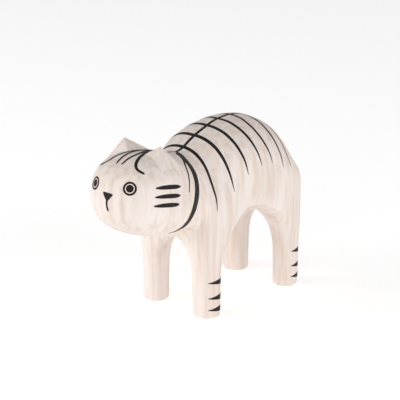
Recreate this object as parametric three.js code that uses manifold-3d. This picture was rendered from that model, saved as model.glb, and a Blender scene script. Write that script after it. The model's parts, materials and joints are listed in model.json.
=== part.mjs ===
// Palm-sized cat figure carved in solid wood: one block for the body and its four legs, a head block
// glued on over a hidden dowel, and two ears and a tail that peg into drilled sockets.
// The figure faces -Y, its left side is +X, and its soles stand on z = 0. Lengths are in millimetres
// and angles in degrees. The origin is in the middle of the footprint, on the floor.
import * as THREE from "three";
import { ConvexGeometry } from "three/addons/geometries/ConvexGeometry.js";
import { mergeVertices } from "three/addons/utils/BufferGeometryUtils.js";
import Module from "manifold-3d";

const { Vector3, Box3 } = THREE;
const { degToRad } = THREE.MathUtils;

// Driving dimensions. Places along the body are measured from the middle of the four legs' square.
const FIT_GAP = 0.3; // glue gap between two pieces that meet
const CELL = 2.6; // size of the carved facets

const LEG = {
  fromMidline: 11.9,
  frontY: -18.2,
  rearY: 22.7,
  footRadius: 4.7,
  topRadius: 5.25,
  topZ: 34, // height at which the leg's taper ends, inside the torso
};
const TORSO = {
  halfWidth: 17.35,
  crestY: 6, // the back is highest here
  frontReach: 30.6, // from the crest forward to the chest
  rearReach: 21.6, // from the crest back to the rump
  flankTop: 44, // the flanks stand upright up to this height
  backTop: 62,
  bellyZ: 33.3,
  planSquareness: 2.3, // 2 is an ellipse, and more is squarer
};
const ARCH_BLEND = 20.5; // size of the soft hollow where a leg grows out of the belly
const BACK_BLEND = 13; // the same where a leg runs up into the flank
const LEG_BLEND = 17; // the same between the left and right legs
const BELLY_BLEND = 8.8;
const NECK_BLEND = 5;
const SIDE_MARGIN = 0.35; // the block's sides stand this far outside the legs

const HEAD = {
  centre: new Vector3(3.2, -36.3, 44.6),
  halfSize: new Vector3(14.3, 20.9, 13.55), // across, along the nose, upright
  squareness: 2.4,
  turn: 8.3, // towards the figure's left
  tilt: -13.4, // nose up
  jointY: 7.6, // the neck joint, this far behind the head's centre
};
const DOWEL = { radius: 3, length: 18, chamfer: 0.6 };
const EAR_TIPS = { left: 15.8, right: 16.5 }; // heights over the head's centre
const PEG = { radius: 2, depth: 5.5, lean: 20 };
const TAIL = { rootZ: 40.5, tipZ: 26.5, rootRadius: 2.5, tipRadius: 1.6, pegRadius: 1.8, pegDepth: 6 };
const ROUND_SIDES = 20;

// ---- Signed distances: negative inside the wood ----

// The smaller of two distances, with the crease between them filled over the blend's width.
function joined(a, b, blend) {
  const near = Math.max(blend - Math.abs(a - b), 0) / blend;
  return Math.min(a, b) - (near * near * blend) / 4;
}

// The larger of two distances, with the edge between them rounded.
const trimmed = (a, b, blend) => -joined(-a, -b, blend);

// Length of (a, b, ...) measured with an exponent other than 2, which squares off a round outline.
const squareNorm = (exponent, ...parts) =>
  parts.reduce((sum, part) => sum + Math.abs(part) ** exponent, 1e-9) ** (1 / exponent);

function slopeOf(field, p) {
  const step = 0.01;
  const here = field(p);
  const ahead = (x, y, z) => (field(new Vector3(p.x + x, p.y + y, p.z + z)) - here) / step;
  return new Vector3(ahead(step, 0, 0), ahead(0, step, 0), ahead(0, 0, step));
}

// Distance to the surface where level(p) = 1, true near that surface.
const distanceTo = (level, p) => (level(p) - 1) / Math.max(slopeOf(level, p).length(), 0.01);

// Loaf shape: upright flanks over a rounded plan, closed above by a dome that falls faster at the rear.
function loafLevel(p) {
  const ahead = p.y - TORSO.crestY;
  const alongBody = ahead / (ahead < 0 ? TORSO.frontReach : TORSO.rearReach);
  const rise = Math.max(p.z - TORSO.flankTop, 0) / (TORSO.backTop - TORSO.flankTop);
  const plan = squareNorm(TORSO.planSquareness, p.x / TORSO.halfWidth, alongBody);
  return squareNorm(ahead < 0 ? 2.04 : 1.83, plan, rise);
}

// The straight-sided block that the body is sawn from.
function blockLevel(p) {
  const side = LEG.fromMidline + LEG.footRadius + SIDE_MARGIN;
  const end = (p.y < 0 ? -LEG.frontY : LEG.rearY) + LEG.footRadius + SIDE_MARGIN;
  return squareNorm(8, p.x / side, p.y / end);
}

function legDistance(p, side, y) {
  const up = THREE.MathUtils.clamp(p.z / LEG.topZ, -0.1, 1);
  const axis = new Vector3(side * LEG.fromMidline, y, up * LEG.topZ);
  return p.distanceTo(axis) - THREE.MathUtils.lerp(LEG.footRadius, LEG.topRadius, up);
}

function bodyDistance(p) {
  let distance = Math.max(distanceTo(loafLevel, p), -14);
  distance = trimmed(distance, TORSO.bellyZ - p.z, BELLY_BLEND);
  const overBelly = THREE.MathUtils.smoothstep(p.z, TORSO.bellyZ - 3, TORSO.flankTop + 2);
  for (const y of [LEG.frontY, LEG.rearY]) {
    const pair = joined(legDistance(p, 1, y), legDistance(p, -1, y), LEG_BLEND);
    distance = joined(distance, pair, THREE.MathUtils.lerp(ARCH_BLEND, BACK_BLEND, overBelly));
  }
  return trimmed(distance, Math.max(distanceTo(blockLevel, p), -10), 2);
}

// The head's own frame: its nose points along -Y and its centre is the origin.
const headFrame = new THREE.Matrix4()
  .makeRotationFromEuler(new THREE.Euler(degToRad(HEAD.tilt), 0, degToRad(HEAD.turn), "ZXY"))
  .setPosition(HEAD.centre);
const intoHeadFrame = headFrame.clone().invert();

const headLevel = (q) =>
  squareNorm(HEAD.squareness, q.x / HEAD.halfSize.x, q.y / HEAD.halfSize.y, q.z / HEAD.halfSize.z);

const figureDistance = (p) =>
  joined(bodyDistance(p), distanceTo(headLevel, p.clone().applyMatrix4(intoHeadFrame)), NECK_BLEND);

// ---- Meshing: one vertex in each grid cell that the surface crosses ----

function drawnOnto(field, p) {
  for (let step = 0; step < 3; step++) {
    const slope = slopeOf(field, p);
    p.addScaledVector(slope, -field(p) / Math.max(slope.lengthSq(), 0.1));
  }
  return p;
}

// Mean of the places where the surface crosses a cell's edges, or null if it doesn't cross the cell.
function middleOfCrossings(cornerValues, cornerPlaces) {
  const middle = new Vector3();
  let crossings = 0;
  for (let corner = 0; corner < 8; corner++)
    for (const bit of [1, 2, 4]) {
      const next = corner | bit;
      const [a, b] = [cornerValues[corner], cornerValues[next]];
      if (next === corner || a < 0 === b < 0) continue;
      middle.add(cornerPlaces[corner].clone().lerp(cornerPlaces[next], a / (a - b)));
      crossings++;
    }
  return crossings ? middle.divideScalar(crossings) : null;
}

// Closed mesh of the surface where field(p) = 0, inside a box that holds it all.
function surfaceGeometry(field, box) {
  const count = box.getSize(new Vector3()).divideScalar(CELL).ceil().addScalar(1).toArray();
  const place = (g) => new Vector3(...g).multiplyScalar(CELL).add(box.min);
  const index = ([i, j, k]) => i + count[0] * (j + count[1] * k);
  const gridPoints = [];
  for (let k = 0; k < count[2]; k++)
    for (let j = 0; j < count[1]; j++) for (let i = 0; i < count[0]; i++) gridPoints.push([i, j, k]);
  const values = gridPoints.map((g) => field(place(g)));

  const positions = [];
  const vertexOfCell = new Map();
  for (const g of gridPoints) {
    if (g.some((n, axis) => n === count[axis] - 1)) continue;
    const corners = [...Array(8).keys()].map((c) => [g[0] + (c & 1), g[1] + ((c >> 1) & 1), g[2] + (c >> 2)]);
    const middle = middleOfCrossings(corners.map((c) => values[index(c)]), corners.map(place));
    if (!middle) continue;
    vertexOfCell.set(index(g), positions.length / 3);
    positions.push(...drawnOnto(field, middle).toArray());
  }

  const faces = [];
  for (const g of gridPoints)
    for (let axis = 0; axis < 3; axis++) {
      const next = g.with(axis, g[axis] + 1);
      if (next[axis] >= count[axis] || values[index(g)] < 0 === values[index(next)] < 0) continue;
      const [u, v] = [(axis + 1) % 3, (axis + 2) % 3];
      const back = (du, dv) => vertexOfCell.get(index(g.with(u, g[u] - du).with(v, g[v] - dv)));
      const ring = [back(0, 0), back(1, 0), back(1, 1), back(0, 1)];
      if (values[index(g)] >= 0) ring.reverse();
      faces.push(ring[0], ring[1], ring[2], ring[0], ring[2], ring[3]);
    }
  const geometry = new THREE.BufferGeometry();
  geometry.setAttribute("position", new THREE.Float32BufferAttribute(positions, 3));
  geometry.setIndex(faces);
  return geometry;
}

// ---- Solids: cuts and joins ----

const wasm = await Module();
wasm.setup();

function solid(geometry, matrix = new THREE.Matrix4()) {
  const plain = geometry.clone().applyMatrix4(matrix);
  plain.deleteAttribute("normal");
  plain.deleteAttribute("uv");
  const merged = mergeVertices(plain, 1e-4);
  const vertProperties = new Float32Array(merged.attributes.position.array);
  const triVerts = new Uint32Array(merged.index.array);
  return new wasm.Manifold(new wasm.Mesh({ numProp: 3, vertProperties, triVerts }));
}

function geometryOf(piece) {
  const { vertProperties, triVerts } = piece.getMesh();
  const geometry = new THREE.BufferGeometry();
  geometry.setAttribute("position", new THREE.Float32BufferAttribute(vertProperties, 3));
  geometry.setIndex([...triVerts]);
  geometry.computeVertexNormals();
  return geometry;
}

// Round pin between two points.
function pin(from, to, radius) {
  const along = to.clone().sub(from);
  const turn = new THREE.Quaternion().setFromUnitVectors(new Vector3(0, 1, 0), along.clone().normalize());
  const middle = from.clone().lerp(to, 0.5);
  const matrix = new THREE.Matrix4().compose(middle, turn, new Vector3(1, 1, 1));
  return solid(new THREE.CylinderGeometry(radius, radius, along.length(), ROUND_SIDES), matrix);
}

// Large block that fills the space on one side of the neck joint: in front of it, or behind it.
function sideOfNeck(behind) {
  const size = 120;
  const y = HEAD.jointY + (behind ? 1 : -1) * (size / 2 + FIT_GAP / 2);
  const local = new THREE.Matrix4().makeTranslation(0, y, 0);
  return solid(new THREE.BoxGeometry(size, size, size), headFrame.clone().multiply(local));
}

const inHead = (x, y, z) => new Vector3(x, y, z).applyMatrix4(headFrame);

// ---- Pieces ----

function wholeFigure() {
  const room = new Box3(new Vector3(-9 * CELL, -60, -4), new Vector3(9 * CELL, 32, 66));
  const floor = new THREE.BoxGeometry(200, 200, 100).translate(0, 0, -50);
  return solid(surfaceGeometry(figureDistance, room)).subtract(solid(floor));
}

function neckHole() {
  const reach = DOWEL.length / 2 + FIT_GAP;
  const from = inHead(0, HEAD.jointY - reach, 0);
  return pin(from, inHead(0, HEAD.jointY + reach, 0), DOWEL.radius + FIT_GAP);
}

function neckDowel() {
  const { radius, length, chamfer } = DOWEL;
  const profile = [
    [0, -length / 2],
    [radius - chamfer, -length / 2],
    [radius, -length / 2 + chamfer],
    [radius, length / 2 - chamfer],
    [radius - chamfer, length / 2],
    [0, length / 2],
  ].map(([x, y]) => new THREE.Vector2(x, y));
  const local = new THREE.Matrix4().makeTranslation(0, HEAD.jointY, 0);
  return solid(new THREE.LatheGeometry(profile, ROUND_SIDES), headFrame.clone().multiply(local));
}

// The peg runs from inside the ear into the head, leaning outwards. extra widens and deepens it.
function earPeg(side, extra = 0) {
  const foot = new Vector3(side * 7, -6.3, 12);
  const lean = degToRad(PEG.lean);
  const axis = new Vector3(side * Math.sin(lean), 0, Math.cos(lean));
  const end = foot.clone().addScaledVector(axis, -PEG.depth - extra);
  return pin(foot.addScaledVector(axis, 1).applyMatrix4(headFrame), end.applyMatrix4(headFrame), PEG.radius + extra);
}

// Low pyramid with a steep front facet, cut underneath to sit on the head's curve.
function ear(side, tipZ, grownHead) {
  const corners = [
    [7.2, -6.3, tipZ],
    [3.5, -8.6, 12.8], // front facet, inner corner
    [10.5, -9.4, 9.5], // front facet, outer corner
    [0.9, -1, 13.7], // back, by the crown
    [12.2, 1.5, 8.8], // back, outer corner
    [3, -8.8, 8],
    [10.2, -9.8, 5],
  ].map(([x, y, z]) => inHead(side * x, y, z));
  return solid(new ConvexGeometry(corners)).subtract(grownHead).add(earPeg(side));
}

// The head alone, one gap larger all round.
function grownHead() {
  const { x, y, z } = HEAD.halfSize;
  const room = new Box3(new Vector3(-x - 3, -y - 3, -z - 3), new Vector3(x + 3, y + 3, z + 3));
  const field = (q) => distanceTo(headLevel, q) - FIT_GAP;
  return solid(surfaceGeometry(field, room), headFrame);
}

const rumpY = LEG.rearY + LEG.footRadius + SIDE_MARGIN;

function tailPeg(extra = 0) {
  const z = TAIL.rootZ - 0.5;
  const end = new Vector3(0, rumpY - TAIL.pegDepth - extra, z);
  return pin(new Vector3(0, rumpY + TAIL.rootRadius, z), end, TAIL.pegRadius + extra);
}

// Tapering round rod with domed ends, lying down the rump.
function tail() {
  const { rootZ, tipZ, rootRadius, tipRadius } = TAIL;
  const outline = new THREE.Path()
    .absarc(0, tipZ, tipRadius, -Math.PI / 2, 0)
    .absarc(0, rootZ, rootRadius, 0, Math.PI / 2);
  const rod = new THREE.LatheGeometry(outline.getPoints(3), ROUND_SIDES)
    .rotateX(Math.PI / 2)
    .translate(0, rumpY + FIT_GAP + rootRadius, 0);
  return solid(rod).add(tailPeg());
}

const figure = wholeFigure();
const seat = grownHead();
const pieces = {
  body: figure.intersect(sideOfNeck(true)).subtract(neckHole()).subtract(tailPeg(FIT_GAP)),
  head: figure.intersect(sideOfNeck(false)).subtract(neckHole())
    .subtract(earPeg(1, FIT_GAP)).subtract(earPeg(-1, FIT_GAP)),
  ear_left: ear(1, EAR_TIPS.left, seat),
  ear_right: ear(-1, EAR_TIPS.right, seat),
  neck_dowel: neckDowel(),
  tail: tail(),
};

const WOOD = { color: 0xe6d9d0, roughness: 0.7, metalness: 0 };
const PEG_WOOD = { color: 0xc9a47a, roughness: 0.75, metalness: 0 };

const group = new THREE.Group();
for (const [name, piece] of Object.entries(pieces)) {
  const look = name === "neck_dowel" ? PEG_WOOD : WOOD;
  const mesh = new THREE.Mesh(geometryOf(piece), new THREE.MeshStandardMaterial(look));
  mesh.name = name;
  group.add(mesh);
}

// Move the origin to the middle of the footprint.
const bounds = new Box3().setFromObject(group, true);
const middle = bounds.getCenter(new Vector3());
group.position.set(-middle.x, -middle.y, -bounds.min.z);

export default group;
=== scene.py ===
"""Looks of the carved wooden cat figure: fine whitewashed wood, black brush strokes, and a pale studio."""
import json
import math

import bmesh
import bpy
import numpy as np
from mathutils import Matrix, Vector
from mathutils.bvhtree import BVHTree

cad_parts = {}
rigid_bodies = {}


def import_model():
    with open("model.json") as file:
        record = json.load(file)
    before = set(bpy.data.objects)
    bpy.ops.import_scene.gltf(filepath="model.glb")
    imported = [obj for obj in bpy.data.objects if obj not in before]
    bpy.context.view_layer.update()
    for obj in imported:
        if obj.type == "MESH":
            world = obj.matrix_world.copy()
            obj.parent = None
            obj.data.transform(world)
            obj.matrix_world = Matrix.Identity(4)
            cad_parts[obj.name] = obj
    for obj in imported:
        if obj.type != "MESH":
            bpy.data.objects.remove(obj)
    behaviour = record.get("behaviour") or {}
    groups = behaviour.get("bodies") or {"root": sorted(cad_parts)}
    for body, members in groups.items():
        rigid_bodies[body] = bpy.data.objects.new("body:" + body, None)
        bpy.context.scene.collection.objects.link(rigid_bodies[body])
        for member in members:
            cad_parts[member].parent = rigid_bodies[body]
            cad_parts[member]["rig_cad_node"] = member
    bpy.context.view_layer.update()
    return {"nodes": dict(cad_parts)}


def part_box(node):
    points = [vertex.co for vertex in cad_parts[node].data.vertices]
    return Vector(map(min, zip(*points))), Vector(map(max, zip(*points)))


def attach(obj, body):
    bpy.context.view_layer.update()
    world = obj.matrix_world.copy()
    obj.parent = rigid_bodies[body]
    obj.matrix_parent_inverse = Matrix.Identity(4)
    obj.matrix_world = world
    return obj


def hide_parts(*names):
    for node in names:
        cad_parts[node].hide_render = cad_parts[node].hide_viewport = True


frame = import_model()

MM = 0.001

# Reference places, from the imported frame.
body_low, body_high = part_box("body")
MIDLINE_X = (body_low.x + body_high.x) / 2
RUMP_BEHIND_LEGS = 27.75 * MM  # from the middle of the four legs back to the rump
LEGS_Y = body_high.y - RUMP_BEHIND_LEGS

# The head's own frame, as in the part: its nose points along -Y from the head's centre.
HEAD_CENTRE = (3.2, -36.3, 44.6)
HEAD_TILT, HEAD_TURN = -13.4, 8.3  # degrees
NECK_JOINT = 7.6  # behind the head's centre

GRAIN_SIZE = 0.5  # spacing of the fine surface's points
GLUE_LINE = 0.04  # what shows of a joint
PAINT = 0.06  # how far the paint stands above the wood
PAINT_ROOT = 0.15  # how far the underside of the paint lies inside the wood
SMOOTHING_ROUNDS = 12
EAR_GROWTH = 1.12  # lengthens an ear from its tip


def on_body(x, y, z):
    """A place in millimetres from the floor point between the four legs."""
    return Vector((MIDLINE_X + x * MM, LEGS_Y + y * MM, z * MM))


head_turn = (
    Matrix.Rotation(math.radians(HEAD_TURN), 4, "Z")
    @ Matrix.Rotation(math.radians(HEAD_TILT), 4, "X")
)
head_frame = Matrix.Translation(on_body(*HEAD_CENTRE)) @ head_turn


def on_head(x, y, z):
    """A place in millimetres in the head's own frame."""
    return head_frame @ (Vector((x, y, z)) * MM)


# ---- The carved wood ----


def new_object(name, bm):
    mesh = bpy.data.meshes.new(name)
    bm.to_mesh(mesh)
    bm.free()
    piece = bpy.data.objects.new(name, mesh)
    bpy.context.scene.collection.objects.link(piece)
    return piece


def apply_modifier(piece, kind, **settings):
    modifier = piece.modifiers.new(kind.lower(), kind)
    for name, value in settings.items():
        setattr(modifier, name, value)
    bpy.context.view_layer.objects.active = piece
    with bpy.context.temp_override(object=piece, active_object=piece):
        bpy.ops.object.modifier_apply(modifier=modifier.name)


def rounded_copy(node, sharp_angle=50):
    """A CAD node's mesh, subdivided to a smooth surface that keeps its sawn and drilled edges."""
    bm = bmesh.new()
    bm.from_mesh(frame["nodes"][node].data)
    bmesh.ops.remove_doubles(bm, verts=bm.verts, dist=0.35 * MM)
    bmesh.ops.join_triangles(
        bm, faces=bm.faces, angle_face_threshold=math.radians(40), angle_shape_threshold=math.radians(60)
    )
    crease = bm.edges.layers.float.new("crease_edge")
    for edge in bm.edges:
        if edge.calc_face_angle(0) > math.radians(sharp_angle):
            edge[crease] = 1
    piece = new_object(node + "_rounded", bm)
    apply_modifier(piece, "SUBSURF", levels=2)
    return piece


def close_glue_gap(head):
    """Pushes the head's joint face into the body, so that the two merge into one surface."""
    into_head = head_frame.inverted()
    back = head_turn.to_3x3() @ Vector((0, 1, 0))
    for vertex in head.data.vertices:
        if (into_head @ vertex.co).y > (NECK_JOINT - 0.25) * MM:
            vertex.co += back * 0.5 * MM


def fine_skin():
    """One fine, even surface over the body and the head."""
    body, head = rounded_copy("body"), rounded_copy("head")
    close_glue_gap(head)
    bm = bmesh.new()
    for piece in (body, head):
        bm.from_mesh(piece.data)
        bpy.data.objects.remove(piece)
    skin = new_object("skin", bm)
    apply_modifier(skin, "REMESH", mode="VOXEL", voxel_size=GRAIN_SIZE * MM)
    for _ in range(SMOOTHING_ROUNDS):  # smooth and swell in turn, which evens the surface and keeps its size
        apply_modifier(skin, "SMOOTH", factor=0.5, iterations=1)
        apply_modifier(skin, "SMOOTH", factor=-0.52, iterations=1)
    for vertex in skin.data.vertices:
        vertex.co.z = max(vertex.co.z, 0)
    return skin


def halved(skin, name, behind):
    """The part of the skin behind the neck joint, or in front of it, closed with a flat joint face."""
    bm = bmesh.new()
    bm.from_mesh(skin.data)
    back = head_turn.to_3x3() @ Vector((0, 1, 0))
    side = 1 if behind else -1
    cut = bmesh.ops.bisect_plane(
        bm,
        geom=[*bm.verts, *bm.edges, *bm.faces],
        plane_co=on_head(0, NECK_JOINT + side * GLUE_LINE / 2, 0),
        plane_no=back * -side,
        clear_outer=True,
    )
    rim = [g for g in cut["geom_cut"] if isinstance(g, bmesh.types.BMEdge)]
    for edge in rim:
        edge.smooth = False
    bmesh.ops.triangle_fill(bm, edges=rim, use_beauty=True, use_dissolve=False)
    bmesh.ops.recalc_face_normals(bm, faces=bm.faces)
    piece = new_object(name, bm)
    piece.data.shade_smooth()
    for polygon in piece.data.polygons:
        if abs(polygon.normal.dot(back)) > 0.9999:
            polygon.use_smooth = False
    return piece


def fine_ear(node, name):
    """The ear's pyramid with softened edges, lengthened from its tip so that its foot sinks in the head."""
    bm = bmesh.new()
    bm.from_mesh(frame["nodes"][node].data)
    hull = bmesh.ops.convex_hull(bm, input=bm.verts, use_existing_faces=False)
    spare = [g for g in hull["geom_interior"] + hull["geom_unused"] if isinstance(g, bmesh.types.BMVert)]
    bmesh.ops.delete(bm, geom=spare, context="VERTS")
    bmesh.ops.dissolve_limit(bm, angle_limit=math.radians(4), verts=bm.verts, edges=bm.edges)
    tip = max(bm.verts, key=lambda v: v.co.z).co.copy()
    for vertex in bm.verts:
        vertex.co = tip.lerp(vertex.co, EAR_GROWTH)
    piece = new_object(name, bm)
    apply_modifier(
        piece, "BEVEL", width=0.45 * MM, segments=4, limit_method="ANGLE", angle_limit=math.radians(18)
    )
    piece.data.shade_smooth()
    return piece


# ---- Brush strokes: thin films of paint laid on the wood ----


class Surface:
    """The finished wood, to lay paint on."""

    def __init__(self, *pieces):
        bm = bmesh.new()
        for piece in pieces:
            bm.from_mesh(piece.data)
        self.tree = BVHTree.FromBMesh(bm)
        bm.free()

    def nearest(self, place):
        spot, normal, _, _ = self.tree.find_nearest(place)
        return spot, normal

    def outermost(self, start, direction):
        """Where a ray from inside leaves the wood."""
        spot, _, _, _ = self.tree.ray_cast(start + direction * 0.2, -direction)
        return spot


def smooth_path(points, step=0.45 * MM):
    """A curve through the points, as evenly spaced points."""
    pts = [points[0] * 2 - points[1], *points, points[-1] * 2 - points[-2]]
    curve = []
    for a, b, c, d in zip(pts, pts[1:], pts[2:], pts[3:]):
        for t in np.linspace(0, 1, 16, endpoint=False):
            bend, twist = a * 2 - b * 5 + c * 4 - d, b * 3 - a - c * 3 + d
            curve.append(((b * 2) + (c - a) * t + bend * t**2 + twist * t**3) / 2)
    curve.append(points[-1])
    lengths = np.cumsum([0] + [(q - p).length for p, q in zip(curve, curve[1:])])
    count = max(int(lengths[-1] / step), 6)
    xyz = np.array(curve)
    return [
        Vector([np.interp(s, lengths, xyz[:, axis]) for axis in range(3)])
        for s in np.linspace(0, lengths[-1], count + 1)
    ]


def film(bm, surface, rows, closed=False):
    """Adds a film over a grid of places: a top just above the wood, and an underside just inside it."""
    top, under = [], []
    for row in rows:
        top.append([])
        under.append([])
        for i, place in enumerate(row):
            spot, normal = surface.nearest(place)
            edge = i in (0, len(row) - 1)
            top[-1].append(bm.verts.new(spot + normal * (PAINT * (0.5 if edge else 1)) * MM))
            under[-1].append(bm.verts.new(spot - normal * PAINT_ROOT * MM))
    last = len(rows) if closed else len(rows) - 1
    width = len(rows[0])
    for r in range(last):
        n = (r + 1) % len(rows)
        for i in range(width - 1):
            bm.faces.new((top[r][i], top[r][i + 1], top[n][i + 1], top[n][i]))
            bm.faces.new((under[r][i], under[n][i], under[n][i + 1], under[r][i + 1]))
        for i in (0, width - 1):
            wall = (top[r][i], top[n][i], under[n][i], under[r][i])
            bm.faces.new(wall if i == 0 else wall[::-1])
    if not closed:
        for r in (0, len(rows) - 1):
            for i in range(width - 1):
                wall = (top[r][i], under[r][i], under[r][i + 1], top[r][i + 1])
                bm.faces.new(wall if r == 0 else wall[::-1])


def stroke(bm, surface, points, widths, closed=False):
    """A stroke of the brush through the points. widths, in millimetres, are evenly spaced along it."""
    path = smooth_path([surface.nearest(p)[0] for p in points])
    if closed:
        path.pop()
    count = len(path)
    steps = [(path[min(i + 1, count - 1)] - path[max(i - 1, 0)]) for i in range(count)]
    length = sum((b - a).length for a, b in zip(path, path[1:]))
    rows = []
    for i, place in enumerate(path):
        along = path[(i + 1) % count] - path[i - 1] if closed else steps[i]
        spot, normal = surface.nearest(place)
        across = normal.cross(along).normalized()
        t = i / (count - 1)
        width = np.interp(t, np.linspace(0, 1, len(widths)), widths) * MM
        if not closed:  # round off each end
            to_end = min(t, 1 - t) * length
            width *= math.sqrt(max(1 - max(1 - 2 * to_end / width, 0) ** 2, 0.01))
        rows.append([spot + across * width * u for u in (-0.5, -0.44, -0.22, 0, 0.22, 0.44, 0.5)])
    film(bm, surface, rows, closed)


def patch(bm, surface, centre, outline):
    """A filled shape: its outline, as places round the centre."""
    rows = []
    for place in outline:
        rows.append([centre.lerp(place, share) for share in (0.02, 0.35, 0.7, 0.94, 1)])
    film(bm, surface, rows, closed=True)


def mirrored(points, place):
    """The same stroke on the left side and on the right."""
    return [[place(side * x, y, z) for x, y, z in points] for side in (1, -1)]


# Strokes on the head: places along the left one, and widths spaced evenly along it.
NECK_BAND = [(0.6, 12.5, 13), (3.4, 10.2, 12.6), (6.8, 7.9, 11.8), (9.4, 7.1, 10.6), (12, 7.3, 7.6),
             (13.7, 7.5, 1), (13.3, 7.1, -5), (11.9, 6.8, -8), (10.4, 5.9, -10), (8.2, 2.4, -11.9)]
NECK_BAND_WIDTHS = (0.5, 2.6, 3.0, 3.1, 3.1, 3.1, 3.1, 3.1, 3.1, 3.0, 2.2, 0.4)
NECK_LINE = [(6, 7, 12.4), (8.2, 5.6, 11.6), (10.4, 3.8, 10.3), (12, 3.2, 8.4), (13.3, 2.7, 6),
             (14.1, 2.5, 2.3)]
NECK_LINE_WIDTHS = (1.0, 1.0, 0.8, 0.7, 0.55, 0.4)
CROWN_HOOK = [(0.6, -0.5, 13.6), (1.2, -4, 13.6), (2.6, -8, 13), (3.9, -12.5, 11.4), (5, -15, 9.7),
              (6.6, -16, 8.4), (8.8, -15, 7.3)]
CROWN_LINE = [(0.1, -0.5, 13.6), (0.8, -5, 13.5), (1.5, -9.5, 12.6), (1.3, -13.5, 11.2), (1, -17, 9.1)]
CHEEK_STROKES = [4.2, 1.4, -1.4]  # heights
NOSE = [(-1.9, 0.2), (-1.2, 0.35), (1.5, 0.15), (2.1, -0.15), (1.4, -1.1), (0.4, -2.2), (0, -2.6),
        (-0.5, -2), (-1.4, -0.8)]
EYES = [(6.8, -19, 2.6), (-6.2, -19.4, 2.2)]
EYE_RING, EYE_LINE, PUPIL = 1.85, 0.65, 1.2  # ring's middle radius, its line, and the pupil's radius

# Ribs over the back: place on the spine, then the tip's place and height, and the stroke's width.
RIBS = [
    (-17.9, -18.2, 36.8, 1.25),
    (-12.6, -9.7, 41.5, 1.35),
    (-6.3, -2.9, 45.9, 1.4),
    (-0.3, 3.7, 47.5, 1.35),
    (5.9, 9.2, 47.3, 1.25),
    (12.5, 15.1, 44.6, 1.2),
    (17.3, 19.5, 43.8, 0.9),
]
RIB_HALF = (0.1, 0.45, 0.65, 0.78, 0.87, 0.95, 1.0)  # a rib's shape from its tip to the spine
RIB_SWEEP = 1.3  # how a rib curves from the spine to its tip
# Wedges on the outside of each leg: the leg's middle, the front tip's bearing, and the heights.
LEG_X, LEG_RADIUS = 11.9, 5
WEDGE_BACK = 78  # bearing of a wedge's broad end, in degrees
LEG_WEDGES = [(-18.2, -41, (12.5, 7.1, 3.0)), (22.7, -28, (13.0, 7.6, 3.6))]


def paint_head(surface):
    bm = bmesh.new()
    for points in mirrored(NECK_BAND, on_head):
        stroke(bm, surface, points, NECK_BAND_WIDTHS)
    for points in mirrored(NECK_LINE, on_head):
        stroke(bm, surface, points, NECK_LINE_WIDTHS)
    for points in mirrored(CROWN_HOOK, on_head):
        stroke(bm, surface, points, (0.8, 1.1, 1.2, 1.1, 1.0, 1.0, 0.9, 0.8))
    for points in mirrored(CROWN_LINE, on_head):
        stroke(bm, surface, points, (0.9, 1.1, 0.95, 0.8, 0.55))
    for height in CHEEK_STROKES:
        points = [(12.1, -12.9, height - 0.7), (13.3, -8.5, height - 0.2), (13.9, -2.2, height + 0.1)]
        for side in mirrored(points, on_head):
            stroke(bm, surface, side, (0.4, 1.0, 1.3, 1.4, 1.4, 1.25, 0.5))
    muzzle = [on_head(0.1, -20.8, -1.6), on_head(-0.1, -20.5, -3.4), on_head(0.3, -19.7, -5.6)]
    stroke(bm, surface, muzzle, (1.0, 0.7, 0.65, 0.7, 0.7))
    corners = [on_head(x, -20.9, z) for x, z in NOSE]
    sides = zip(corners, corners[1:] + corners[:1])
    outline = [a.lerp(b, share) for a, b in sides for share in (0, 0.25, 0.5, 0.75)]
    patch(bm, surface, on_head(0, -20.9, -0.7), outline)
    for eye in EYES:
        centre, normal = surface.nearest(on_head(*eye))
        across = Vector((0, 0, 1)).cross(normal).normalized()
        above = normal.cross(across)

        def circle(radius, count=28):
            turns = [2 * math.pi * i / count for i in range(count)]
            return [centre + (across * math.cos(a) + above * math.sin(a)) * radius * MM for a in turns]

        ring = circle(EYE_RING)
        stroke(bm, surface, [*ring, ring[0]], (EYE_LINE,), closed=True)
        patch(bm, surface, centre, circle(PUPIL))
    return new_object("head_paint", bm)


def paint_body(surface):
    bm = bmesh.new()
    spine = [(1.1, -22), (1.2, -17), (1.2, -12), (1, -7), (0.3, -2), (0, 4), (0, 10), (0, 15), (0, 19)]
    tops = [surface.outermost(on_body(x, y, 40), Vector((0, 0, 1))) for x, y in spine]
    stroke(bm, surface, tops, (1.1, 1.1, 1.2, 1.2, 1.2, 1.2, 1.1, 0.9, 0.3))
    for spine_y, tip_y, tip_z, width in RIBS:
        tip_turn = math.atan2(16.5, tip_z - 40)
        points = []
        for share in np.linspace(-1, 1, 17):
            turn = share * tip_turn
            y = spine_y + (tip_y - spine_y) * abs(share) ** RIB_SWEEP
            start = on_body(0, y, 40)
            points.append(surface.outermost(start, Vector((math.sin(turn), 0, math.cos(turn)))))
        stroke(bm, surface, points, [width * w for w in (*RIB_HALF, *RIB_HALF[::-1])])
    for leg_y, tip_bearing, heights in LEG_WEDGES:
        for height in heights:
            for side in (1, -1):
                points = []
                for bearing in np.linspace(tip_bearing, WEDGE_BACK, 7):
                    a = math.radians(bearing)
                    drop = 0.3 * (bearing - tip_bearing) / 100
                    x, y = LEG_X + LEG_RADIUS * math.cos(a), leg_y + LEG_RADIUS * math.sin(a)
                    points.append(on_body(side * x, y, height - drop))
                stroke(bm, surface, points, (0.15, 0.8, 1.5, 2.0, 2.3, 2.5))
    return new_object("body_paint", bm)


# ---- Materials ----


def shader(name, **inputs):
    material = bpy.data.materials.new(name)
    material.use_nodes = True
    surface = material.node_tree.nodes["Principled BSDF"]
    for label, value in inputs.items():
        surface.inputs[label.replace("_", " ")].default_value = value
    return material, surface


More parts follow.
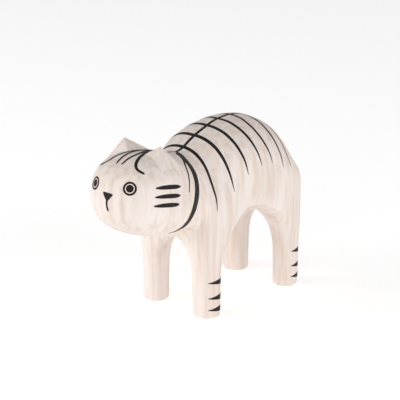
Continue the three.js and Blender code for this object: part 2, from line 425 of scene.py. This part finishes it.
def linear(r, g, b):
    """A colour given as it shows on a screen, from 0 to 255."""

    def channel(c):
        return c / 12.92 if c <= 0.04045 else ((c + 0.055) / 1.055) ** 2.4

    return (*(channel(v / 255) for v in (r, g, b)), 1)


def streaks(tree, scale, stretch, detail=4):
    """Noise drawn out along the upright grain."""
    nodes, links = tree.nodes, tree.links
    where = nodes.new("ShaderNodeTexCoord")
    squeeze = nodes.new("ShaderNodeMapping")
    squeeze.inputs["Scale"].default_value = (1, 1, 1 / stretch)
    noise = nodes.new("ShaderNodeTexNoise")
    noise.inputs["Scale"].default_value = scale
    noise.inputs["Detail"].default_value = detail
    links.new(where.outputs["Object"], squeeze.inputs["Vector"])
    links.new(squeeze.outputs["Vector"], noise.inputs["Vector"])
    return noise.outputs["Fac"]


def wood(name, pale, warm, strength):
    """Whitewashed wood: a pale coat, with the warm grain showing through in upright streaks."""
    material, surface = shader(name, Roughness=0.62, Specular_IOR_Level=0.3)
    tree = material.node_tree
    nodes, links = tree.nodes, tree.links
    ramp = nodes.new("ShaderNodeValToRGB")
    ramp.color_ramp.elements[0].position = 0.42
    ramp.color_ramp.elements[0].color = pale
    ramp.color_ramp.elements[1].position = 0.85
    ramp.color_ramp.elements[1].color = warm
    links.new(streaks(tree, 520, 14), ramp.inputs["Fac"])
    broad = nodes.new("ShaderNodeValToRGB")
    broad.color_ramp.elements[0].position = 0.4
    broad.color_ramp.elements[0].color = (1, 1, 1, 1)
    broad.color_ramp.elements[1].position = 0.75
    broad.color_ramp.elements[1].color = (0.95, 0.90, 0.87, 1)
    links.new(streaks(tree, 90, 4, 2), broad.inputs["Fac"])
    mix = nodes.new("ShaderNodeMix")
    mix.data_type, mix.blend_type = "RGBA", "MULTIPLY"
    mix.inputs["Factor"].default_value = strength
    links.new(ramp.outputs["Color"], mix.inputs["A"])
    links.new(broad.outputs["Color"], mix.inputs["B"])
    links.new(mix.outputs["Result"], surface.inputs["Base Color"])
    bump = nodes.new("ShaderNodeBump")
    bump.inputs["Strength"].default_value = 0.25
    bump.inputs["Distance"].default_value = 0.06 * MM
    links.new(streaks(tree, 900, 10), bump.inputs["Height"])
    links.new(bump.outputs["Normal"], surface.inputs["Normal"])
    return material


def black_paint():
    material, surface = shader("black_paint", Roughness=0.55, Specular_IOR_Level=0.2)
    tree = material.node_tree
    ramp = tree.nodes.new("ShaderNodeValToRGB")
    ramp.color_ramp.elements[0].color = linear(16, 14, 15)
    ramp.color_ramp.elements[1].color = linear(38, 31, 31)
    tree.links.new(streaks(tree, 700, 1), ramp.inputs["Fac"])
    tree.links.new(ramp.outputs["Color"], surface.inputs["Base Color"])
    return material


def dress(piece, material, replaces=None):
    piece.data.materials.clear()
    piece.data.materials.append(material)
    if replaces:
        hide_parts(replaces)
    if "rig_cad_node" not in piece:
        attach(piece, "root")


whitewash = wood("whitewashed_wood", linear(234, 224, 217), linear(214, 192, 178), 0.6)
dowel_wood = wood("dowel_wood", linear(206, 170, 128), linear(176, 134, 92), 1)
paint = black_paint()

skin = fine_skin()
ears = [fine_ear("ear_left", "left_ear_carving"), fine_ear("ear_right", "right_ear_carving")]
surface = Surface(skin, *ears)
head_paint, body_paint = paint_head(surface), paint_body(surface)
for film_piece in (head_paint, body_paint):
    film_piece.data.shade_smooth()
    dress(film_piece, paint)
dress(halved(skin, "body_carving", behind=True), whitewash, "body")
dress(halved(skin, "head_carving", behind=False), whitewash, "head")
bpy.data.objects.remove(skin)
for ear, node in zip(ears, ("ear_left", "ear_right")):
    dress(ear, whitewash, node)
for node, material, slot in (("tail", whitewash, "tail_wood"), ("neck_dowel", dowel_wood, "dowel_wood")):
    dress(frame["nodes"][node], material)

# ---- Studio ----

CAMERA_AZIMUTH, CAMERA_ELEVATION = 43.2, 17.6
CAMERA_DISTANCE, CAMERA_LENS = 467 * MM, 123.7
AIM = on_body(-4.93, -3.44, 32.7)


def towards(azimuth, elevation):
    """The direction from the figure to something at that bearing. Azimuth 0 is in front of the figure."""
    a, e = math.radians(azimuth), math.radians(elevation)
    return Vector((math.sin(a) * math.cos(e), -math.cos(a) * math.cos(e), math.sin(e)))


def softbox(name, azimuth, elevation, distance, size, power):
    light = bpy.data.lights.new(name, "AREA")
    light.shape, light.size, light.energy = "DISK", size, power
    lamp = bpy.data.objects.new(name, light)
    back = towards(azimuth, elevation)
    lamp.location = AIM + back * distance
    lamp.rotation_euler = back.to_track_quat("Z", "Y").to_euler()
    bpy.context.scene.collection.objects.link(lamp)


def studio():
    bm = bmesh.new()
    bmesh.ops.create_grid(bm, x_segments=1, y_segments=1, size=4)
    floor = new_object("floor", bm)
    floor.location.z = -0.00002
    floor_look, floor_surface = shader(
        "floor", Base_Color=(0.85, 0.85, 0.85, 1), Roughness=0.9, Emission_Color=(1, 1, 1, 1)
    )
    floor_surface.inputs["Emission Strength"].default_value = 0.45
    floor.data.materials.append(floor_look)
    softbox("left_softbox", CAMERA_AZIMUTH - 80, 12, 0.9, 0.7, 4)
    softbox("front_softbox", CAMERA_AZIMUTH - 15, 20, 0.9, 0.7, 1)
    softbox("right_softbox", CAMERA_AZIMUTH + 50, 15, 0.9, 0.7, 2.8)
    world = bpy.data.worlds.new("studio")
    world.use_nodes = True
    world.node_tree.nodes["Background"].inputs["Color"].default_value = (1, 1, 1, 1)
    world.node_tree.nodes["Background"].inputs["Strength"].default_value = 0.45
    bpy.context.scene.world = world
    camera = bpy.data.objects.new("camera", bpy.data.cameras.new("camera"))
    camera.data.lens, camera.data.sensor_width = CAMERA_LENS, 36
    camera.data.clip_start = 0.01
    back = towards(CAMERA_AZIMUTH, CAMERA_ELEVATION)
    camera.location = AIM + back * CAMERA_DISTANCE
    camera.rotation_euler = back.to_track_quat("Z", "Y").to_euler()
    bpy.context.scene.collection.objects.link(camera)
    bpy.context.scene.camera = camera
    bpy.context.scene.view_settings.view_transform = "Standard"


studio()
